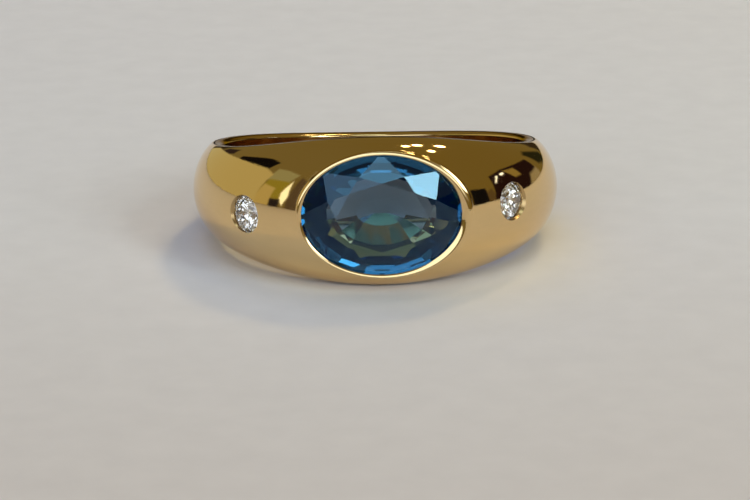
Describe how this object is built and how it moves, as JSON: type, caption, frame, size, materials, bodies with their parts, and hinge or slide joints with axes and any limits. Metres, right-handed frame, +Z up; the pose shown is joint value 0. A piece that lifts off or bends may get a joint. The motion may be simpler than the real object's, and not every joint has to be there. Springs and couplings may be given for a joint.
{
  "type": "mens ring",
  "caption": "Polished gold dome ring lying on its side, with an oval teal-blue stone in a low bezel and small flush-set diamonds on the shoulders.",
  "frame": {"origin": "centre of the footprint, on the surface that the ring lies on", "axes": "the head with the oval stone faces -Y, the shank is towards +Y, +X is to the right of the head, +Z is up; the finger hole's axis leans back from +Z, because the ring rests on the rims of its wide head and narrow shank"},
  "size_m": [0.0232, 0.024, 0.0091],
  "materials": {
    "gold": "polished yellow gold",
    "blue_stone": "faceted, polished",
    "diamond": "faceted, polished"
  },
  "bodies": {
    "root": {"band": "gold", "oval_stone": "blue_stone", "left_diamond": "diamond", "right_diamond": "diamond"}
  },
  "joints": []
}
